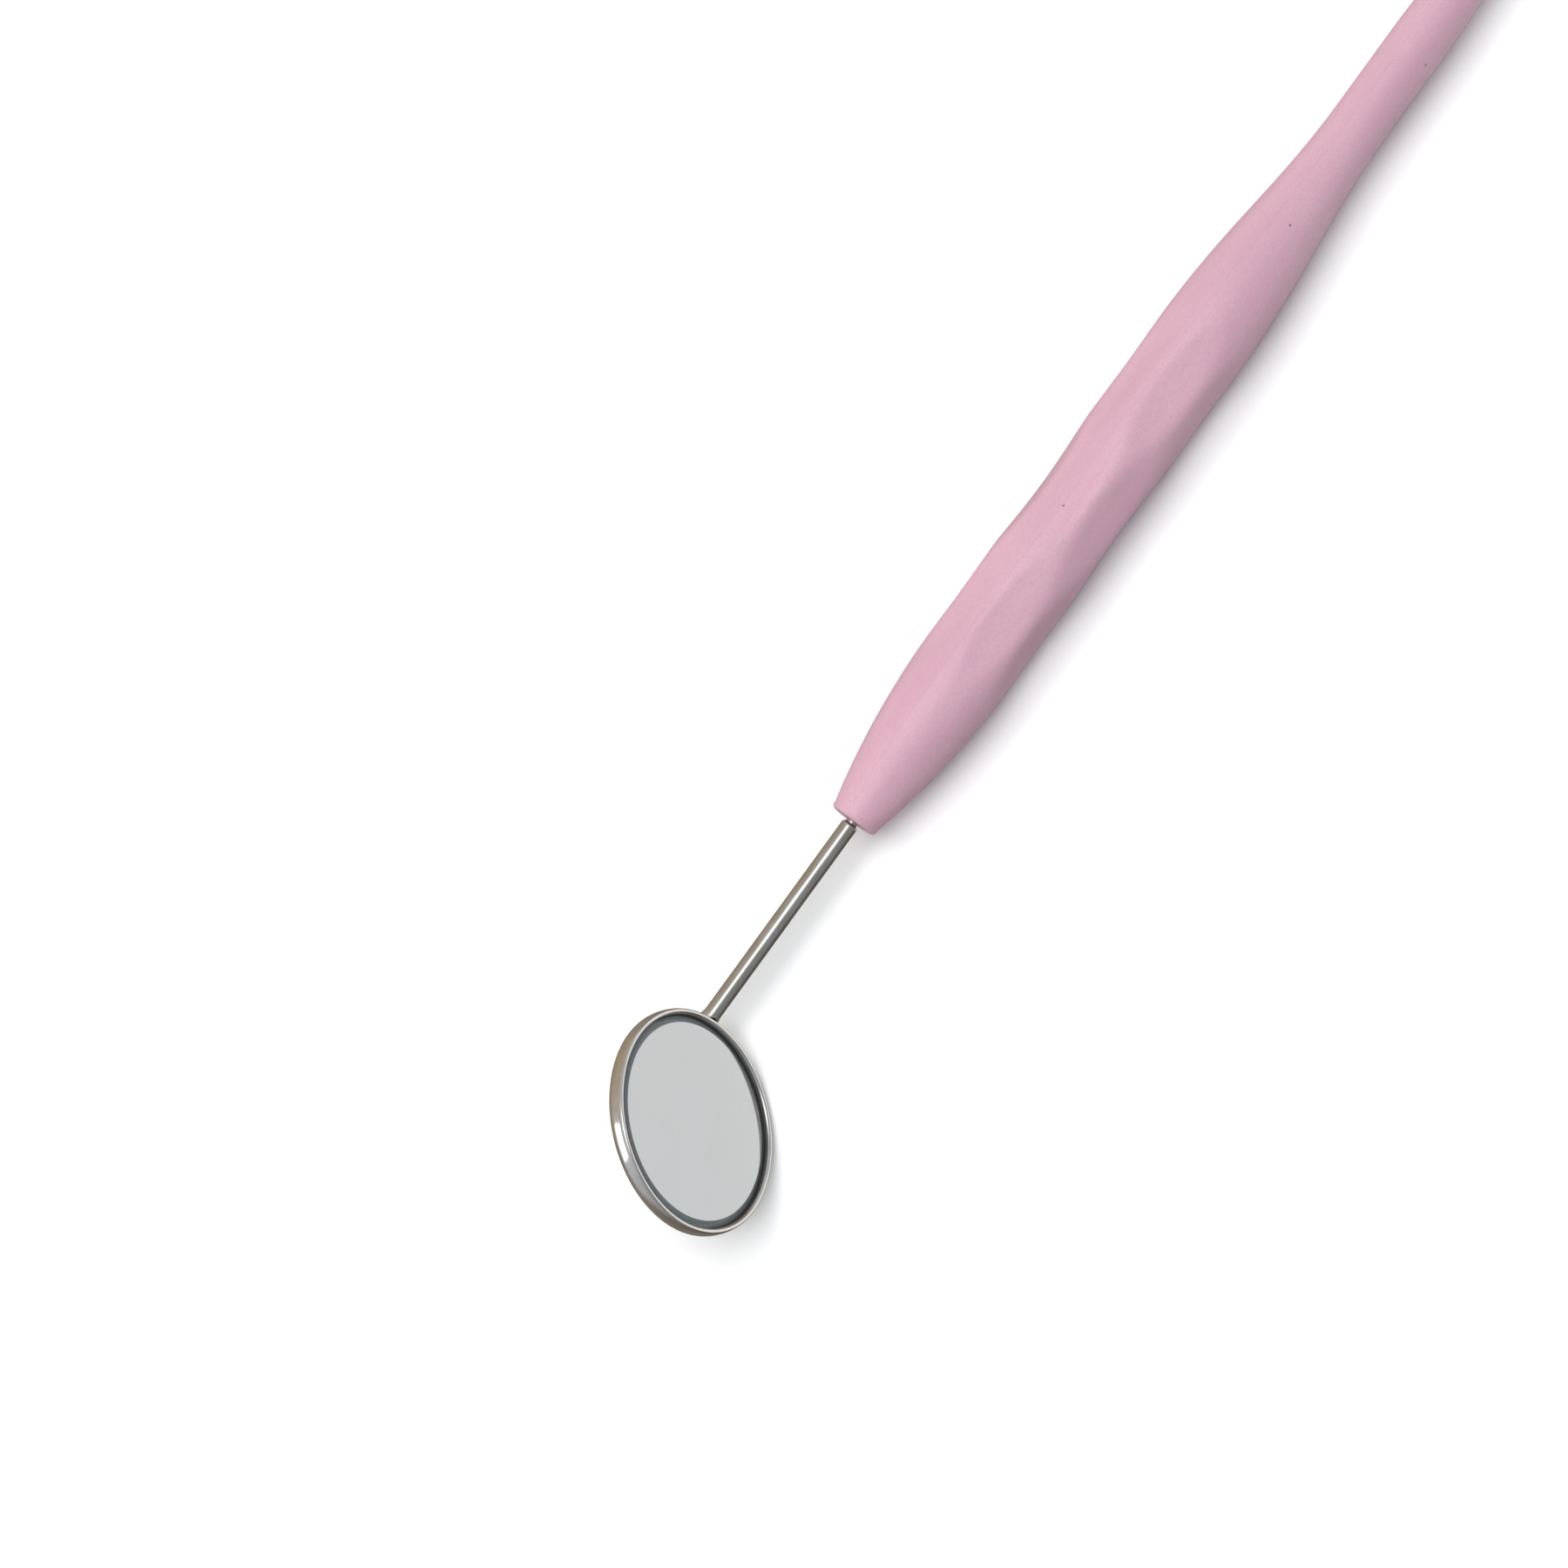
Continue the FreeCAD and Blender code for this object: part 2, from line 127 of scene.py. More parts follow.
# %% [markdown]
# ## How the head lies
# The mirror lies tilted and leaning, so nothing on it is along an axis. Its way of facing is
# read from the reflecting layer, the flattest piece: the normal of its largest flat is the
# way the mirror faces. Round pieces of the head are modelled upright on this head frame.

# %% Read the head's own frame
HANDLE_LENGTH = 125.0
CUP_FLOOR, ADHESIVE, GLASS, COATING = 0.35, 0.2, 1.1, 0.04
SAME_WAY = 0.999


def facing_of(node):
    """The upward normal of a node's largest flat."""
    mesh = nodes[node].data
    widest = max(mesh.polygons, key=lambda face: face.area).normal
    alike = [f for f in mesh.polygons if f.normal.dot(widest) > SAME_WAY]
    total = sum((f.normal * f.area for f in alike), Vector())
    return (total if total.z > 0 else -total).normalized()


def head_frame():
    """A matrix with its origin at the middle of the cup's back and +Z the way it faces."""
    facing = facing_of("reflective_coating")
    low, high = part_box("reflective_coating")
    layer = (low + high) / 2
    along_handle = Vector((1, 0, 0))
    away = (along_handle - facing * along_handle.dot(facing)).normalized()
    side = facing.cross(away)
    back = layer - facing * (CUP_FLOOR + ADHESIVE + GLASS + COATING / 2) * MM
    turn = Matrix((away, side, facing)).transposed().to_4x4()
    return Matrix.Translation(back) @ turn


HEAD = head_frame()
print("mirror faces", [round(v, 3) for v in HEAD.to_3x3() @ Vector((0, 0, 1))])

# %% [markdown]
# ## Turning on a lathe
# The handle's mould, the rod, the cup, the glass and the seal are all round, so each starts
# as a lathe would see it: half an outline. A plane is merged into one point, the point is
# extruded along the outline, and the outline is spun once round. The other way is to extrude
# and scale rings of a circle, but an outline keeps every measure in one list.

# %% Lathe helpers
X_AXIS = Vector((1, 0, 0))
Z_AXIS = Vector((0, 0, 1))
WELD = 0.002 * MM
SMOOTH_BELOW = math.radians(30)


def drop_selection():
    """Leave nothing selected, so that the next operator acts on its own piece only."""
    if bpy.context.object and bpy.context.object.mode != "OBJECT":
        bpy.ops.object.mode_set(mode="OBJECT")
    bpy.ops.object.select_all(action="DESELECT")


def work_on(piece):
    """Make one piece the only selected and active object."""
    drop_selection()
    piece.select_set(True)
    bpy.context.view_layer.objects.active = piece


def select_points(piece, is_wanted, mode="VERT"):
    """Select the points of a piece that pass a test on their place."""
    work_on(piece)
    mesh = piece.data
    bpy.ops.object.mode_set(mode="EDIT")
    bpy.ops.mesh.select_mode(type="VERT")
    bpy.ops.mesh.select_all(action="DESELECT")
    bpy.ops.object.mode_set(mode="OBJECT")
    count = 0
    for point in mesh.vertices:
        point.select = bool(is_wanted(point.co))
        count += point.select
    bpy.ops.object.mode_set(mode="EDIT")
    if mode != "VERT":
        bpy.ops.mesh.select_mode(type=mode)
    return count


def turn_outline(name, outline, steps, axis):
    """Spin an outline of (along, radius) points, in mm, once round the X or the Z axis."""
    drop_selection()
    bpy.ops.mesh.primitive_plane_add(size=MM)
    piece = bpy.context.object
    piece.name = name
    bpy.ops.object.mode_set(mode="EDIT")
    bpy.ops.mesh.select_mode(type="VERT")
    bpy.ops.mesh.select_all(action="SELECT")
    bpy.ops.mesh.merge(type="CENTER")
    outward = X_AXIS if axis.z else Z_AXIS
    places = [(axis * along + outward * radius) * MM for along, radius in outline]
    bpy.ops.transform.translate(value=places[0])
    for before, after in zip(places, places[1:]):
        bpy.ops.mesh.extrude_region_move(TRANSFORM_OT_translate={"value": after - before})
    bpy.ops.mesh.select_all(action="SELECT")
    bpy.ops.mesh.spin(steps=steps, angle=math.tau, center=(0, 0, 0), axis=axis)
    bpy.ops.mesh.select_all(action="SELECT")
    bpy.ops.mesh.remove_doubles(threshold=WELD)
    bpy.ops.mesh.normals_make_consistent(inside=False)
    bpy.ops.object.mode_set(mode="OBJECT")
    return piece


def settle(piece, place=None):
    """Put a finished piece in its place with its object at the origin, and smooth its shading."""
    work_on(piece)
    if place is not None:
        piece.matrix_world = place
    bpy.ops.object.transform_apply(location=True, rotation=True, scale=True)
    bpy.ops.object.shade_smooth_by_angle(angle=SMOOTH_BELOW)
    tris = sum(len(face.vertices) - 2 for face in piece.data.polygons)
    size = [round(v / MM, 2) for v in piece.dimensions]
    print(f"{piece.name}: {tris} triangles, {size} mm")
    return piece


def arc(centre, radius, start, end, steps):
    """Points of an arc, in the outline's own (along, radius) plane, between two angles."""
    turns = [math.radians(start + (end - start) * i / steps) for i in range(steps + 1)]
    return [(centre[0] + radius * math.cos(t), centre[1] + radius * math.sin(t)) for t in turns]

# %% [markdown]
# ## The handle
# The real handle is moulded in one shot of satin plastic: a tapering tail, a slim stretch, a
# swelling grip and a blunt nose. Its outline has two straight stretches joined by soft
# curves, and each curve needs only four points. It ends in the small hole for the rod and in
# the bed of the brass insert behind it.

# %% Handle outline
TAIL_FACE, TAIL_ROUND, TAIL_ARC_END = 2.3, 0.9, 95
SHAFT, SHAFT_START, SHAFT_END = 3.25, 20.0, 30.0
GRIP, GRIP_START, GRIP_END = 5.3, 61.0, 103.0
NOSE_FACE, NOSE_ROUND, NOSE_ARC_START = 2.6, 0.55, 75
TAIL_PULL, TAIL_PULL_RADIUS, SHAFT_PULL = 8, 2.7, 6
SWELL_BACK_PULL, SWELL_FRONT_PULL = 12, 13
NOSE_BACK_PULL, NOSE_FRONT_PULL, NOSE_PULL_RADIUS = 7, 7, 4.45
LIP, LIP_HOLE, LIP_CHAMFER = 1.2, 1.12, 0.08
INSERT_LENGTH, INSERT_RADIUS, MOULDING_GAP = 8.2, 2.0, 0.03
STATION = 0.42
EDGE_STEPS = 6


def bend(a, b, c, d, steps):
    """Points of a smooth curve from a to d that sets out for b and arrives from c."""
    points = []
    for i in range(steps + 1):
        t = i / steps
        parts = ((1 - t) ** 3, 3 * t * (1 - t) ** 2, 3 * t * t * (1 - t), t ** 3)
        points.append(tuple(sum(p * q[k] for p, q in zip(parts, (a, b, c, d))) for k in (0, 1)))
    return points


def long_bend(a, b, c, d):
    """A smooth curve along the handle, with a point at each station."""
    return bend(a, b, c, d, round((d[0] - a[0]) / STATION))


def straight(a, b):
    """Points along a straight stretch, one station apart."""
    steps = round((b[0] - a[0]) / STATION)
    rise = (b[0] - a[0], b[1] - a[1])
    return [(a[0] + rise[0] * i / steps, a[1] + rise[1] * i / steps) for i in range(steps + 1)]


def handle_outline():
    """The whole outline, from the middle of the tail face round to the floor of the bed."""
    tail = (0, TAIL_FACE)
    shaft = ((SHAFT_START, SHAFT), (SHAFT_END, SHAFT))
    grip = ((GRIP_START, GRIP), (GRIP_END, GRIP))
    nose = (HANDLE_LENGTH, NOSE_FACE)
    slope = (HANDLE_LENGTH - NOSE_FRONT_PULL, NOSE_PULL_RADIUS)
    swell = (SHAFT_END + SWELL_BACK_PULL, SHAFT), (GRIP_START - SWELL_FRONT_PULL, GRIP)
    run = long_bend(tail, (TAIL_PULL, TAIL_PULL_RADIUS), (SHAFT_START - SHAFT_PULL, SHAFT), shaft[0])
    run += straight(*shaft)[1:]
    run += long_bend(shaft[1], *swell, grip[0])[1:]
    run += straight(*grip)[1:]
    run += long_bend(grip[1], (GRIP_END + NOSE_BACK_PULL, GRIP), slope, nose)[1:]
    run = [p for p in run if TAIL_ROUND < p[0] < HANDLE_LENGTH - NOSE_ROUND]
    tail_centre = (TAIL_ROUND, run[0][1] - TAIL_ROUND)
    tail_edge = arc(tail_centre, TAIL_ROUND, 180, TAIL_ARC_END, EDGE_STEPS)
    nose_centre = (HANDLE_LENGTH - NOSE_ROUND, run[-1][1] - NOSE_ROUND)
    nose_edge = arc(nose_centre, NOSE_ROUND, NOSE_ARC_START, 0, EDGE_STEPS)
    mouth = HANDLE_LENGTH - LIP + MOULDING_GAP
    floor = HANDLE_LENGTH - LIP - INSERT_LENGTH - MOULDING_GAP
    bed = INSERT_RADIUS + MOULDING_GAP
    hole = [
        (HANDLE_LENGTH, LIP_HOLE + LIP_CHAMFER), (HANDLE_LENGTH - LIP_CHAMFER, LIP_HOLE),
        (mouth, LIP_HOLE), (mouth, bed), (floor, bed), (floor, 0),
    ]
    return [(0, 0)] + tail_edge + run + nose_edge + hole


SIDES = 120
handle = turn_outline("handle_moulding", handle_outline(), SIDES, X_AXIS)
print("handle blank:", len(handle.data.vertices), "points")

# %% [markdown]
# ## The finger scoops
# Three rings of six shallow ovals ring the grip, every second ring turned by half a step, so
# that fingers find a flat from any side. A hollow like that can be cut with a ball, but a cut
# leaves a hard edge where the mould has a soft one. Here one point is pushed in with
# proportional editing, whose inverse-square falloff is just a shallow bowl. The handle is
# squeezed lengthwise first, so the round falloff comes out as a long oval.

# %% Press the scoops
SCOOP_DEPTH = 0.55
SCOOP_REACH = 2.4
SCOOP_STRETCH = 3.45
SCOOP_PHASE = 18.0
SCOOPS = 6
FRONT_RING, RING_PITCH = 26.5, 15.7
RINGS = [(HANDLE_LENGTH - FRONT_RING - RING_PITCH * ring, ring % 2) for ring in range(3)]
EDGE_SOFTENING = 12
SOFTENING_CLEAR, BED_CLEAR = 3, 2.2
AT_POINT = 0.001 * MM


def stretch_handle(factor):
    """Scale the whole handle lengthwise."""
    select_points(handle, lambda p: True)
    bpy.ops.transform.resize(value=(factor, 1, 1), center_override=(0, 0, 0))
    bpy.ops.object.mode_set(mode="OBJECT")


def press_scoop(along, angle):
    """Push the nearest point straight in, with a bowl-shaped falloff round it."""
    outward = Vector((0, math.sin(angle), math.cos(angle)))
    centre = (X_AXIS * along / SCOOP_STRETCH + outward * GRIP) * MM
    nearest = min(handle.data.vertices, key=lambda p: (p.co - centre).length).index
    target = handle.data.vertices[nearest].co.copy()
    select_points(handle, lambda p: (p - target).length < AT_POINT)
    bpy.ops.transform.translate(
        value=outward * -SCOOP_DEPTH * MM,
        use_proportional_edit=True,
        proportional_edit_falloff="INVERSE_SQUARE",
        proportional_size=SCOOP_REACH * MM,
    )
    bpy.ops.object.mode_set(mode="OBJECT")


stretch_handle(1 / SCOOP_STRETCH)
for along, half_step in RINGS:
    for scoop in range(SCOOPS):
        press_scoop(along, math.radians(SCOOP_PHASE + (scoop + half_step / 2) * 360 / SCOOPS))
stretch_handle(SCOOP_STRETCH)


def is_outside(point):
    """True for the outside of the handle between its two rounded ends."""
    between_ends = SOFTENING_CLEAR < point.x / MM < HANDLE_LENGTH - SOFTENING_CLEAR
    return between_ends and math.hypot(point.y, point.z) > BED_CLEAR * MM


print("softening", select_points(handle, is_outside), "points of the handle")
bpy.ops.mesh.vertices_smooth(factor=0.5, repeat=EDGE_SOFTENING)
bpy.ops.object.mode_set(mode="OBJECT")

# %% [markdown]
# ## The parting line
# The two halves of the mould meet along the handle and leave a hair-thin raised line on both
# sides. A line drawn in the colour would vanish in a close look, so the lengthwise edges there
# are bevelled into a narrow strip and the strip's middle is lifted a little.

# %% Raise the parting line
PARTING_ANGLES = (-12.0, 168.0)
PARTING_WIDTH = 0.11
PARTING_HEIGHT = 0.022
PARTING_START, PARTING_END_CLEAR = 1.5, 1
FIRST_REACH, MIDDLE_REACH = 0.6, 0.25


def on_parting_line(within):
    """A test for points within some degrees of the two mould halves' meeting line."""
    def is_there(point):
        if not PARTING_START < point.x / MM < HANDLE_LENGTH - PARTING_END_CLEAR:
            return False
        if math.hypot(point.y, point.z) < BED_CLEAR * MM:
            return False
        angle = math.degrees(math.atan2(point.y, point.z))
        return any(abs((angle - line + 180) % 360 - 180) < within for line in PARTING_ANGLES)
    return is_there


print("parting line:", select_points(handle, on_parting_line(FIRST_REACH), "EDGE"), "points")
bpy.ops.mesh.bevel(offset=PARTING_WIDTH / 2 * MM, segments=2, affect="EDGES")
select_points(handle, on_parting_line(MIDDLE_REACH))
bpy.ops.transform.shrink_fatten(value=PARTING_HEIGHT * MM)
bpy.ops.object.mode_set(mode="OBJECT")
settle(handle)
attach(handle, "handle")
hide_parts("handle")

# %% [markdown]
# ## The rod
# The rod is drawn steel, turned down and threaded at one end, with a small chamfer where it
# meets the handle. The lathe gives the rod, a Screw modifier winds the thread's ridge round
# it, and both become one solid. The far end is hollowed to sit against the round cup, so it is
# cut with a cylinder as wide as the cup.

# %% Turn the rod and wind its thread
ROD, ROD_CHAMFER, ROD_STEPS = 0.95, 0.2, 96
THREAD_ROOT, THREAD_CREST, PITCH, THREAD_TURNS = 0.68, 0.9, 0.35, 16
THREAD_SINK, RIDGE_FOOT, RIDGE_TOP, TURN_STEPS = 0.05, 0.14, 0.03, 40
BORE_DEPTH, BORE_CLEAR, SHANK_CHAMFER = 6.95, 0.1, 0.2
SHANK_START = HANDLE_LENGTH - LIP - BORE_DEPTH + BORE_CLEAR
SHOULDER_GAP, STEM_REACH = 0.3, 26.5
SHOULDER = HANDLE_LENGTH + SHOULDER_GAP
ROD_END = HANDLE_LENGTH + STEM_REACH
CUP, CUP_HEIGHT, CUTTER_STEPS = 12.0, 2.1, 256

rod_outline = [
    (SHANK_START, 0),
    (SHANK_START, THREAD_ROOT - SHANK_CHAMFER),
    (SHANK_START + SHANK_CHAMFER, THREAD_ROOT),
    (SHOULDER, THREAD_ROOT),
    (SHOULDER, ROD - ROD_CHAMFER),
    (SHOULDER + 0.04, ROD - ROD_CHAMFER + 0.02),
    (SHOULDER + ROD_CHAMFER, ROD - 0.02),
    (SHOULDER + ROD_CHAMFER + 0.05, ROD),
    (SHOULDER + 0.5, ROD),
    (ROD_END, ROD),
    (ROD_END + CUP_HEIGHT, ROD),
    (ROD_END + CUP_HEIGHT, 0),
]
rod = turn_outline("stem_rod", rod_outline, ROD_STEPS, X_AXIS)


def wind_thread():
    """Wind a narrow ridge round the shank, its ends closed."""
    drop_selection()
    bpy.ops.mesh.primitive_plane_add(size=MM, rotation=(math.radians(90), 0, 0))
    ridge = bpy.context.object
    ridge.name = "thread_ridge"
    bpy.ops.object.transform_apply(rotation=True)
    middle = SHANK_START + PITCH
    sink = THREAD_ROOT - THREAD_SINK
    corners = [
        (middle - RIDGE_FOOT, sink), (middle + RIDGE_FOOT, sink),
        (middle + RIDGE_TOP, THREAD_CREST), (middle - RIDGE_TOP, THREAD_CREST),
    ]
    order = sorted(ridge.data.vertices, key=lambda p: math.atan2(p.co.z, p.co.x))
    for point, (along, height) in zip(order, corners):
        point.co = Vector((along, 0, height)) * MM
    work_on(ridge)
    bpy.ops.object.mode_set(mode="EDIT")
    bpy.ops.mesh.select_all(action="SELECT")
    bpy.ops.mesh.delete(type="ONLY_FACE")
    bpy.ops.object.mode_set(mode="OBJECT")
    bpy.ops.object.modifier_add(type="SCREW")
    screw = ridge.modifiers[-1]
    screw.axis = "X"
    screw.screw_offset = PITCH * MM
    screw.iterations = THREAD_TURNS
    screw.steps = screw.render_steps = TURN_STEPS
    bpy.ops.object.modifier_apply(modifier=screw.name)
    bpy.ops.object.mode_set(mode="EDIT")
    bpy.ops.mesh.select_mode(type="EDGE")
    bpy.ops.mesh.select_all(action="DESELECT")
    bpy.ops.mesh.select_non_manifold()
    bpy.ops.mesh.edge_face_add()
    bpy.ops.mesh.select_all(action="SELECT")
    bpy.ops.mesh.normals_make_consistent(inside=False)
    bpy.ops.object.mode_set(mode="OBJECT")
    return ridge


def combine(piece, tool, how):
    """Join or cut a piece with a tool piece, which is used up."""
    work_on(piece)
    bpy.ops.object.modifier_add(type="BOOLEAN")
    change = piece.modifiers[-1]
    change.operation = how
    change.solver = "EXACT"
    change.object = tool
    bpy.ops.object.modifier_apply(modifier=change.name)
    work_on(tool)
    bpy.ops.object.delete()
    return piece


def seat_cutter(outline):
    """A block turned on the head's own axis, to cut with."""
    block = turn_outline("cutter", outline, CUTTER_STEPS, Z_AXIS)
    return settle(block, HEAD)


combine(rod, wind_thread(), "UNION")
combine(rod, seat_cutter([(-CUP, 0), (-CUP, CUP), (CUP, CUP), (CUP, 0)]), "DIFFERENCE")
settle(rod)
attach(rod, "head")
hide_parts("stem")

# %% [markdown]
# ## The cup
# The cup is spun from sheet steel: a shallow dish whose side swells a little and rolls over
# into a rounded rim. Its outline is turned upright on the head's own axis and then put in
# place. Two four-point curves give the rolled side, so the light slides round it without a
# break. Points set close to each end keep the flats flat when the shading is smooth.

# %% Turn the cup
CUP_WALL, CUP_EDGE = 0.65, 0.8
RIM_ROUND = 0.34
SIDE_WIDEST, SIDE_PULL, CREST_PULL = 1.15, 1.65, 11.95
BACK_PULL, EDGE_PULL = 11.65, 0.45
FLAT_KEEPER = 0.1
BEND_STEPS, RIM_STEPS = 14, 10
HEAD_SIDES = 240


def turned_head_piece(name, outline, node):
    """Turn a piece of the head, set it on the head's axis and let it ride with the head."""
    piece = turn_outline(name, outline, HEAD_SIDES, Z_AXIS)
    settle(piece, HEAD)
    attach(piece, "head")
    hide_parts(node)
    return piece


inside = CUP - CUP_WALL
crest = inside + RIM_ROUND
back_edge = CUP - CUP_EDGE - 0.05
side, rim_top = (SIDE_WIDEST, CUP), (CUP_HEIGHT, crest)
cup_outline = [(0, 0), (0, 5), (0, back_edge - FLAT_KEEPER)]
cup_outline += bend((0, back_edge), (0, BACK_PULL), (EDGE_PULL, CUP), side, BEND_STEPS)
cup_outline += bend(side, (SIDE_PULL, CUP), (CUP_HEIGHT, CREST_PULL), rim_top, BEND_STEPS)[1:]
cup_outline += arc((CUP_HEIGHT - RIM_ROUND, crest), RIM_ROUND, 0, -90, RIM_STEPS)[1:]
cup_outline += [(CUP_HEIGHT - RIM_ROUND - FLAT_KEEPER, inside), (CUP_FLOOR, inside), (CUP_FLOOR, 0)]
cup = turned_head_piece("cup_shell", cup_outline, "mirror_cup")

# %% [markdown]
# ## The glass, its silvering and the seal
# A first-surface mirror carries its reflecting layer on the front of the glass, so there is no
# double image. The layer stops short of the edge, and the bare ground margin of the glass shows
# round it as a darker ring. A dark line of sealant closes the gap under the rim.

# %% Turn the glass, the silvering and the seal
GLASS_UNDER = CUP_FLOOR + ADHESIVE
GLASS_TOP = GLASS_UNDER + GLASS
GLASS_EDGE, FACE_EDGE, BEVEL_DROP, SEAL_DROP = 11.2, 10.5, 0.3, 0.05
bevel_foot = GLASS_TOP - BEVEL_DROP

glass_outline = [
    (GLASS_UNDER, 0), (GLASS_UNDER, GLASS_EDGE), (bevel_foot - 0.03, GLASS_EDGE),
    (bevel_foot + 0.015, GLASS_EDGE - 0.035), (GLASS_TOP - 0.012, FACE_EDGE + 0.03),
    (GLASS_TOP, FACE_EDGE), (GLASS_TOP, 0),
]
glass = turned_head_piece("glass_disc", glass_outline, "mirror_glass")

layer_top = GLASS_TOP + COATING
layer_outline = [
    (GLASS_TOP, 0), (GLASS_TOP, FACE_EDGE), (layer_top - 0.015, FACE_EDGE),
    (layer_top, FACE_EDGE - 0.03), (layer_top, 0),
]
layer = turned_head_piece("silver_face", layer_outline, "reflective_coating")

seal_top = bevel_foot - SEAL_DROP
seal_outline = [
    (GLASS_UNDER, GLASS_EDGE), (GLASS_UNDER, inside), (seal_top, inside),
    (seal_top - 0.02, (GLASS_EDGE + inside) / 2), (seal_top, GLASS_EDGE), (GLASS_UNDER, GLASS_EDGE),
]
seal = turned_head_piece("seal_ring", seal_outline, "rim_seal")

# %% [markdown]
# ## The solder
# Silver solder runs into the corner between the rod and the cup and freezes hollow, like water
# climbing a glass. A hollow-sided cone is turned round the rod, and the rod and the cup are cut
# out of it, so it fills exactly what is left.

# %% Turn and fit the solder
SOLDER_LENGTH, SOLDER_WIDE, SOLDER_THIN, SOLDER_PAST_ROD = 1.5, 1.5, 1.0, 0.6
SOLDER_START = ROD_END + SOLDER_PAST_ROD - SOLDER_LENGTH
BEAD_STEPS, BEAD_HOLLOW = 8, 1.6
CUP_EDGE_STEPS = 12

bead_outline = [(SOLDER_START, 0)]
for step in range(BEAD_STEPS + 1):
    part = step / BEAD_STEPS
    bead_outline.append((
        SOLDER_START + SOLDER_LENGTH * part,
        SOLDER_THIN + (SOLDER_WIDE - SOLDER_THIN) * part ** BEAD_HOLLOW,
    ))
bead_outline.append((SOLDER_START + SOLDER_LENGTH, 0))
solder = turn_outline("solder_bead", bead_outline, ROD_STEPS, X_AXIS)

rod_copy = rod.copy()
rod_copy.data = rod.data.copy()
bpy.context.scene.collection.objects.link(rod_copy)
combine(solder, rod_copy, "DIFFERENCE")
edge = arc((CUP_EDGE, CUP - CUP_EDGE), CUP_EDGE, 180, 90, CUP_EDGE_STEPS)
envelope = [(0, 0), (0, CUP - CUP_EDGE)] + edge[1:] + [(CUP, CUP), (CUP, 0)]
combine(solder, seat_cutter(envelope), "DIFFERENCE")
settle(solder)
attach(solder, "head")
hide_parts("solder_joint")

# %% [markdown]
# ## Shader sums in plain Python
# A pattern is arithmetic on numbers that differ from point to point. Wiring each sum by hand
# hides what it says, so a small class wraps a socket and turns + - * ** < and > into Math
# nodes. All other nodes come from one method of the finish they belong to.

# %% Finish and Value
PER_MM = 1000.0


class Value:
    """A socket that can be used in sums."""

    def __init__(self, finish, socket):
        self.finish, self.socket = finish, socket

    def sum_with(self, other, operation, swapped=False):
        pair = (other, self) if swapped else (self, other)
        return self.finish.node("Math", {"operation": operation}, {0: pair[0], 1: pair[1]})

    def __add__(self, other): return self.sum_with(other, "ADD")
    def __radd__(self, other): return self.sum_with(other, "ADD", True)
    def __sub__(self, other): return self.sum_with(other, "SUBTRACT")
    def __rsub__(self, other): return self.sum_with(other, "SUBTRACT", True)
    def __mul__(self, other): return self.sum_with(other, "MULTIPLY")
    def __rmul__(self, other): return self.sum_with(other, "MULTIPLY", True)
    def __pow__(self, other): return self.sum_with(other, "POWER")
    def __lt__(self, other): return self.sum_with(other, "LESS_THAN")
    def __gt__(self, other): return self.sum_with(other, "GREATER_THAN")


class Recipe:
    """A node tree, and the one way that nodes are added to it."""

    def __init__(self, tree):
        self.tree = tree

    def node(self, kind, settings=None, inputs=None, out=0):
        made = self.tree.nodes.new("ShaderNode" + kind)
        for title, value in (settings or {}).items():
            setattr(made, title, value)
        for title, value in (inputs or {}).items():
            self.feed(made.inputs[title], value)
        return Value(self, made.outputs[out])

    def feed(self, socket, value):
        if isinstance(value, Value):
            self.tree.links.new(value.socket, socket)
        else:
            socket.default_value = value

    def between(self, low, high, factor):
        """A colour between two colours."""
        return self.node("Mix", {"data_type": "RGBA"}, {0: factor, 6: low, 7: high}, out=2)

    def clamp(self, value, low, high):
        """Stretch the span from low to high over 0 to 1 and cut off what lies outside."""
        return self.node("MapRange", {"clamp": True}, {
            "Value": value, "From Min": low, "From Max": high,
        })

    def along(self, points, axis):
        """One coordinate of a point: X, Y or Z."""
        return self.node("SeparateXYZ", {}, {"Vector": points}, out=axis)


class Finish(Recipe):
    """A material with the shader that all the finishes use."""

    def __init__(self, name, **constants):
        self.material = bpy.data.materials.new(name)
        self.material.use_nodes = True
        super().__init__(self.material.node_tree)
        self.shader = self.tree.nodes["Principled BSDF"]
        for title, value in constants.items():
            self.shader.inputs[title.replace("_", " ")].default_value = value

    def vary(self, **sockets):
        """Feed the shader's own sockets with what differs over the surface."""
        for title, value in sockets.items():
            self.feed(self.shader.inputs[title.replace("_", " ")], value)

    def place(self, scale=(1, 1, 1), frame=None):
        """Points of the piece in mm, stretched by scale, or first brought upright from a frame."""
        points = self.node("TexCoord", out="Object")
        if frame is not None:
            points = self.node("Mapping", {"vector_type": "TEXTURE"}, {
                "Vector": points,
                "Location": frame.to_translation(),
                "Rotation": frame.to_euler(),
            })
        scale = [PER_MM * factor for factor in scale]
        return self.node("Mapping", {"vector_type": "POINT"}, {"Vector": points, "Scale": scale})

    def noise(self, points, scale, detail=2.0, roughness=0.5):
        return self.node("TexNoise", {}, {
            "Vector": points, "Scale": scale, "Detail": detail, "Roughness": roughness,
        })

    def bump(self, height, depth, strength=1.0, under=None):
        """A Bump node for a height from 0 to 1 that stands for a depth in mm."""
        inputs = {"Height": height, "Distance": depth * MM, "Strength": strength}
        if under is not None:
            inputs["Normal"] = under
        return self.node("Bump", {}, inputs)


def paint(piece, finish):
    """Give a piece its one material."""
    piece.data.materials.clear()
    piece.data.materials.append(finish.material)

# %% [markdown]
# ## The handle's plastic
# The handle is moulded in an opaque pink with a satin skin. The mould's fine spark-eroded grain
# breaks up its highlights, the colour clouds a little where the melt flowed, and a few dark
# specks are dust that was moulded in.

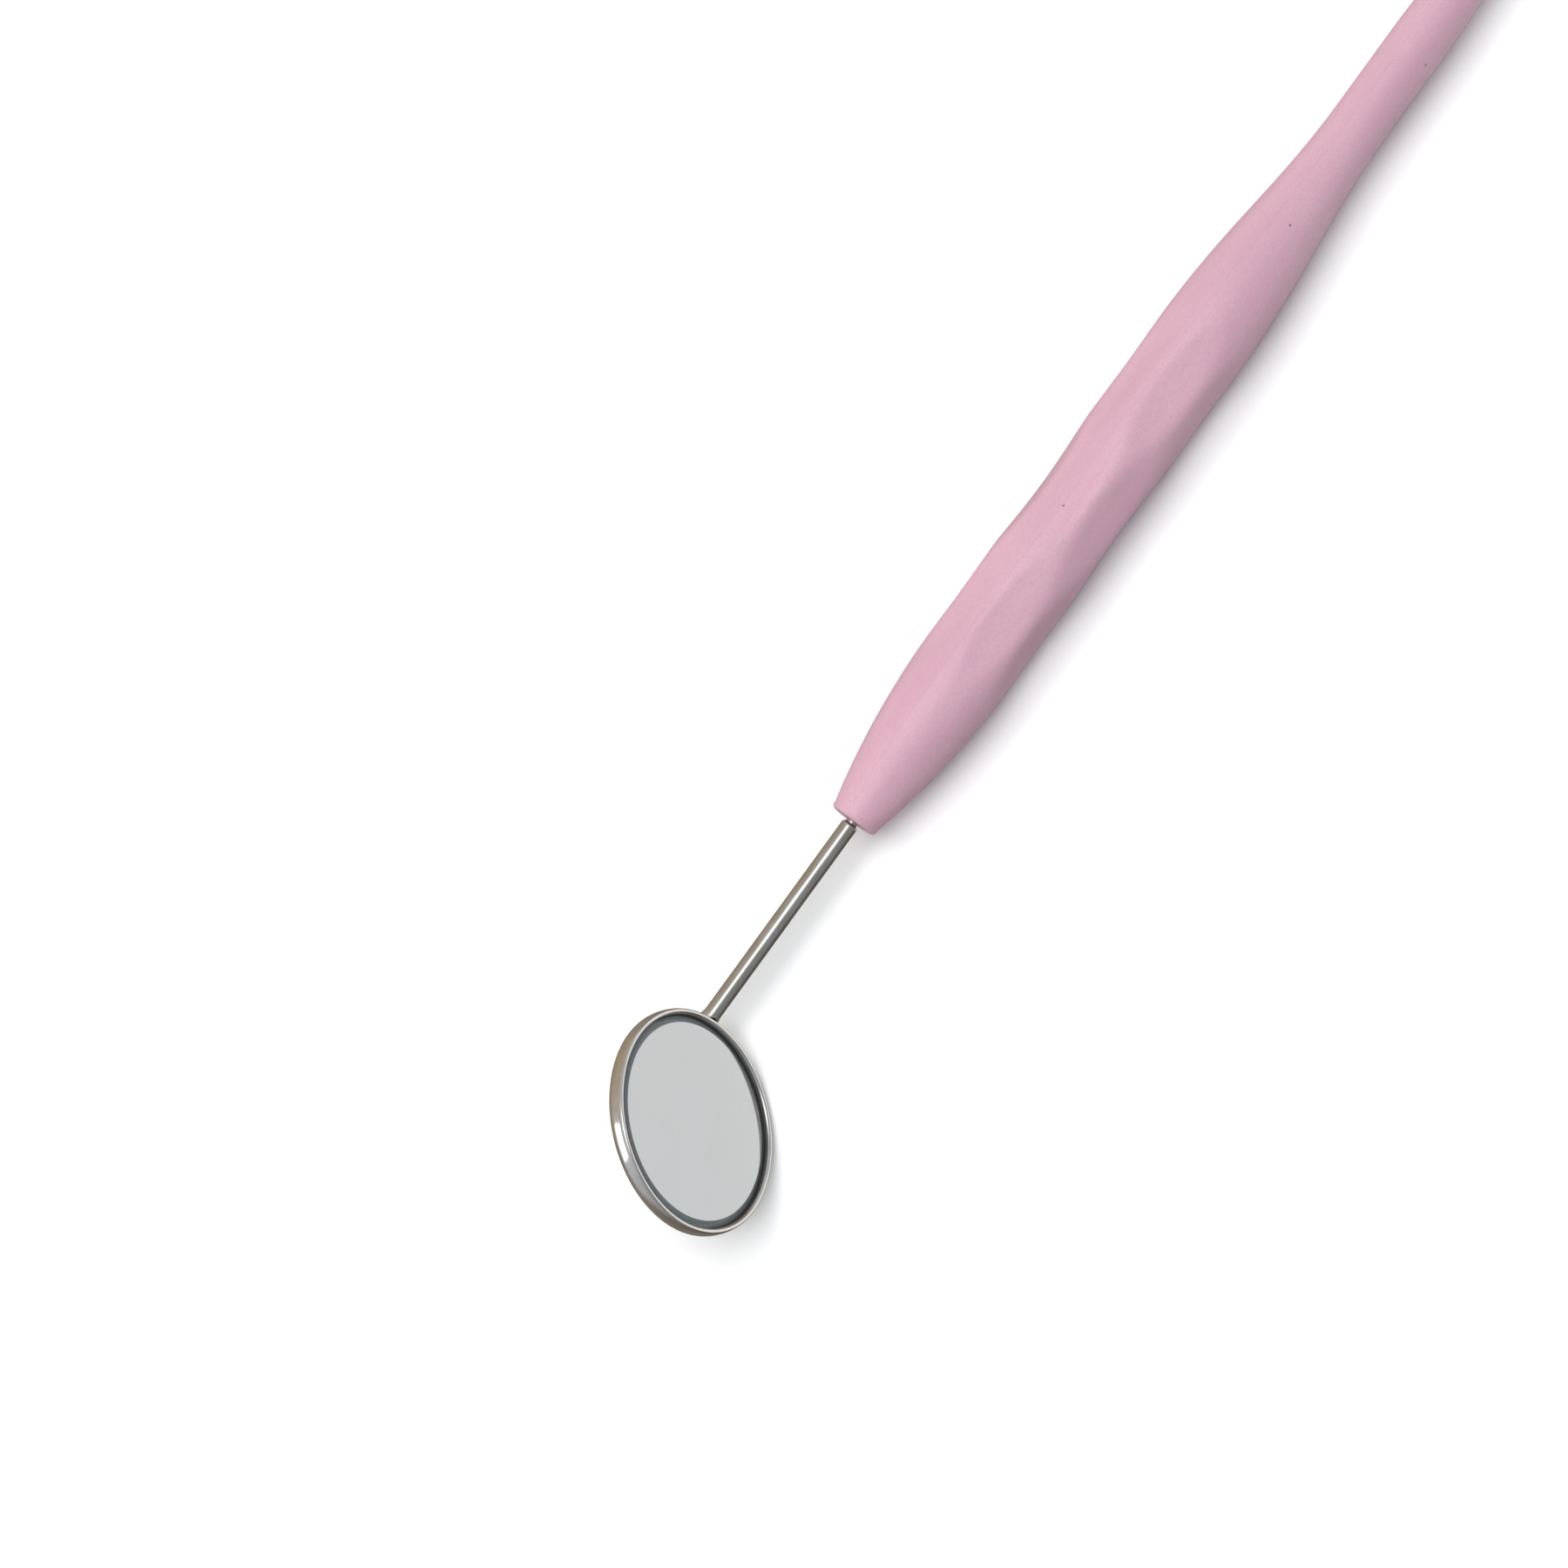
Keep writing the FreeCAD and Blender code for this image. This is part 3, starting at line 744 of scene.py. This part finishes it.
# %% Pink satin plastic
SPECK_SPACING, SPECK_SIZE, SPECK_SHARE = 0.35, 0.06, 0.55
plastic = Finish("satin_pink_plastic", Specular_IOR_Level=0.45, Subsurface_Weight=0.12,
                 Subsurface_Radius=(0.9, 0.5, 0.6), Subsurface_Scale=0.6 * MM)
here = plastic.place()
flow = plastic.noise(plastic.place((0.05, 0.3, 0.3)), 1.0, 3.0)
mottle = plastic.noise(here, 1.6, 4.0, 0.6)
deep, pale = (0.555, 0.328, 0.405, 1), (0.61, 0.372, 0.447, 1)
tint = plastic.between(deep, pale, plastic.clamp(flow, 0.3, 0.7))
tint = plastic.between(tint, (0.55, 0.315, 0.40, 1), plastic.clamp(mottle, 0.55, 0.8) * 0.35)
dusting = plastic.noise(here, 4.5, 2.0, 0.6)
tint = plastic.between(tint, (0.50, 0.28, 0.36, 1), plastic.clamp(dusting, 0.45, 0.7) * 0.5)
speck_cells = {"Vector": here, "Scale": SPECK_SPACING}
cell = plastic.node("TexVoronoi", {"feature": "F1"}, speck_cells)
chance = plastic.node("TexVoronoi", {"feature": "F1"}, speck_cells, out="Color")
chance = plastic.node("SeparateColor", {}, {"Color": chance})
specks = (cell < SPECK_SIZE) * (chance > SPECK_SHARE)
plastic.vary(
    Base_Color=plastic.between(tint, (0.16, 0.10, 0.11, 1), specks * 0.7),
    Roughness=plastic.clamp(mottle, 0.2, 0.8) * 0.1 + 0.36,
)
grain = plastic.noise(here, 9.0, 3.0, 0.6)
swell = plastic.noise(here, 0.8, 2.0)
swell_bump = plastic.bump(swell, 0.03, 0.35)
plastic.vary(Normal=plastic.bump(grain, 0.01, 0.35, swell_bump))
paint(handle, plastic)
print("plastic nodes:", len(plastic.tree.nodes))

# %% [markdown]
# ## Steel, turned and drawn
# The rod is drawn through a die, which leaves fine lines along it. The cup is polished on a
# spindle, so its lines run round it. The same finish is made twice: the pattern is stretched
# along the rod for one, and follows the distance from the head's axis for the other.

# %% Drawn steel for the rod
drawn = Finish("drawn_steel", Metallic=1.0)
along = drawn.place((0.12, 9, 9))
lines = drawn.noise(along, 1.0, 4.0, 0.65)
stain = drawn.noise(drawn.place((0.35, 0.35, 0.35)), 1.0, 3.0)
drawn.vary(
    Base_Color=drawn.between(
        (0.60, 0.565, 0.52, 1), (0.72, 0.69, 0.655, 1), drawn.clamp(stain, 0.3, 0.7)),
    Roughness=drawn.clamp(lines, 0.25, 0.75) * 0.12 + 0.12,
    Normal=drawn.bump(lines, 0.006, 0.35),
)
paint(rod, drawn)

# %% Spindle-polished steel for the cup
RINGS_A_MM = 14
polished = Finish("polished_steel", Metallic=1.0)
upright = polished.place(frame=HEAD)
ahead, aside, height = (polished.along(upright, axis) for axis in "XYZ")
reach = (ahead * ahead + aside * aside) ** 0.5
rings = polished.node("CombineXYZ", {}, {"X": reach * RINGS_A_MM, "Y": height * RINGS_A_MM})
rings = polished.noise(rings, 1.0, 3.0, 0.6)
cloud = polished.noise(upright, 0.5, 4.0, 0.6)
polished.vary(
    Base_Color=polished.between(
        (0.70, 0.665, 0.62, 1), (0.80, 0.77, 0.735, 1), polished.clamp(cloud, 0.3, 0.7)),
    Roughness=polished.clamp(rings, 0.3, 0.7) * 0.06 + 0.09
    + polished.clamp(cloud, 0.45, 0.75) * 0.08,
    Normal=polished.bump(rings, 0.003, 0.25),
)
paint(cup, polished)

# %% [markdown]
# ## The mirror and its margin
# The silvered face reflects almost all that falls on it, dulled a little by dust and a wiped
# smear. The bare margin is glass over a dark bed, so it looks blue-grey.

# %% Silvering, glass, seal and the hidden metals
silvering = Finish("rhodium_silvering", Metallic=1.0)
disc = silvering.place(frame=HEAD)
dust = silvering.noise(disc, 7.0, 3.0, 0.7)
smear = silvering.noise(silvering.place((0.14, 0.3, 0.3), HEAD), 1.0, 3.0)
dusty = silvering.clamp(dust, 0.64, 0.72) * 0.5 + silvering.clamp(smear, 0.5, 0.75) * 0.14
silvering.vary(
    Base_Color=silvering.between((0.60, 0.605, 0.61, 1), (0.50, 0.50, 0.50, 1), dusty),
    Roughness=dusty * 0.16 + 0.025,
)
paint(layer, silvering)

margin = Finish("ground_glass_margin", Specular_IOR_Level=0.5, IOR=1.52)
frost = margin.noise(margin.place(), 5.0, 3.0)
margin.vary(
    Base_Color=margin.between((0.15, 0.172, 0.18, 1), (0.195, 0.215, 0.222, 1), frost),
    Roughness=margin.clamp(frost, 0.3, 0.7) * 0.06 + 0.06,
)
paint(glass, margin)

sealant = Finish("black_sealant")
wobble = sealant.noise(sealant.place(), 3.0, 3.0)
sealant.vary(
    Base_Color=sealant.between((0.02, 0.021, 0.023, 1), (0.045, 0.045, 0.045, 1), wobble),
    Roughness=wobble * 0.2 + 0.45,
)
paint(seal, sealant)

silver = Finish("silver_solder", Metallic=1.0)
pits = silver.noise(silver.place(), 3.0, 4.0, 0.6)
silver.vary(
    Base_Color=silver.between(
        (0.74, 0.71, 0.66, 1), (0.62, 0.57, 0.50, 1), silver.clamp(pits, 0.45, 0.7)),
    Roughness=pits * 0.2 + 0.18,
    Normal=silver.bump(pits, 0.03, 0.5),
)
paint(solder, silver)

brass = Finish("turned_brass", Metallic=1.0)
turning = brass.noise(brass.place((12, 0.4, 0.4)), 1.0, 3.0)
brass.vary(
    Base_Color=brass.between((0.78, 0.56, 0.25, 1), (0.68, 0.46, 0.19, 1), turning),
    Roughness=turning * 0.2 + 0.2,
)
resin = Finish("cured_adhesive", Roughness=0.5)
lumps = resin.noise(resin.place(), 1.2, 3.0)
resin.vary(
    Base_Color=resin.between((0.52, 0.49, 0.40, 1), (0.62, 0.59, 0.50, 1), lumps),
    Normal=resin.bump(lumps, 0.05, 0.5),
)
for node, finish in (("thread_insert", brass), ("glass_adhesive", resin)):
    for part_slot in nodes[node].material_slots:
        part_slot.material = finish.material

# %% [markdown]
# ## The table and the studio
# The mirror lies on a white table under soft white light: one softbox stands overhead and a
# weaker one fills in from the head's end. Polished metal shows what stands round it, so it gets
# glowing cards of its own, in a room that is pale above, brown below, golden on one side and dim
# on the other.

# %% Table, room and lights
TABLE_HALF = 1.5
AIM_AHEAD = Vector((0.06, 0, 0))


def add_table():
    """A white plane under the object's lowest point."""
    low, high = measured_box
    middle = (low + high) / 2
    drop_selection()
    bpy.ops.mesh.primitive_plane_add(size=2 * TABLE_HALF, location=(middle.x, middle.y, low.z))
    table = bpy.context.object
    table.name = "table"
    white = Finish("white_table", Roughness=0.85, Specular_IOR_Level=0.2)
    white.vary(Base_Color=white.between(
        (0.93, 0.93, 0.93, 1), (0.95, 0.95, 0.95, 1), white.noise(white.place(), 0.003)))
    paint(table, white)
    table.visible_glossy = False


def aim_point():
    """Where the lamps and cards point: ahead of the object's middle, near the head."""
    low, high = measured_box
    return (low + high) / 2 + AIM_AHEAD


def add_softbox(name, direction, away, size, power, colour=(1, 1, 1)):
    """A square lamp that faces the object from a direction and isn't seen in its gloss."""
    lamp = bpy.data.lights.new(name, "AREA")
    lamp.shape = "SQUARE"
    lamp.size = size
    lamp.energy = power
    lamp.color = colour
    holder = bpy.data.objects.new(name, lamp)
    bpy.context.scene.collection.objects.link(holder)
    way = Vector(direction).normalized()
    holder.location = aim_point() + way * away
    holder.rotation_euler = (-way).to_track_quat("-Z", "Y").to_euler()
    holder.visible_glossy = False


def add_card(name, direction, away, width, glow):
    """A glowing card that only shiny surfaces see."""
    way = Vector(direction).normalized()
    drop_selection()
    bpy.ops.mesh.primitive_plane_add(
        size=1, location=aim_point() + way * away,
        rotation=(-way).to_track_quat("-Z", "Y").to_euler(),
    )
    card = bpy.context.object
    card.name = name
    card.scale = (width, width, 1)
    card.visible_camera = card.visible_diffuse = card.visible_shadow = False
    bright = Finish(
        name + "_glow", Base_Color=(0, 0, 0, 1),
        Emission_Color=(1, 1, 1, 1), Emission_Strength=glow,
    )
    paint(card, bright)


add_table()
add_softbox("overhead_softbox", (0.0, -0.22, 1.0), away=0.75, size=0.55, power=5.2)
add_softbox("side_softbox", (0.75, -0.5, 0.35), away=0.8, size=0.6, power=1.35,
            colour=(1.0, 0.95, 0.88))
add_card("overhead_card", (0.0, -0.08, 1.0), away=0.75, width=0.42, glow=1.9)
add_card("side_card", (0.72, -0.52, 0.36), away=0.8, width=0.4, glow=1.9)
add_card("mirror_card", (-0.745, 0.58, -0.33), away=0.5, width=0.62, glow=0.95)


def paint_room():
    """Pale above, brown below, golden towards -Y and dimmer towards +Y."""
    world = bpy.data.worlds.new("pale_room")
    world.use_nodes = True
    room = Recipe(world.node_tree)
    way = room.node("TexCoord", out="Generated")
    across, height = room.along(way, "Y"), room.along(way, "Z")
    brown, pale, golden = (0.46, 0.41, 0.36, 1), (0.9, 0.95, 1.0, 1), (0.80, 0.63, 0.44, 1)
    colour = room.between(brown, pale, room.clamp(height, -0.25, 0.05))
    colour = room.between(colour, golden, room.clamp(0 - across, 0.55, 0.95) * 0.8)
    background = world.node_tree.nodes["Background"]
    room.feed(background.inputs["Color"], colour)
    room.feed(background.inputs["Strength"], 0.56 - 0.27 * room.clamp(across, -0.1, 0.8))
    bpy.context.scene.world = world


paint_room()
bpy.context.scene.view_settings.view_transform = "Standard"
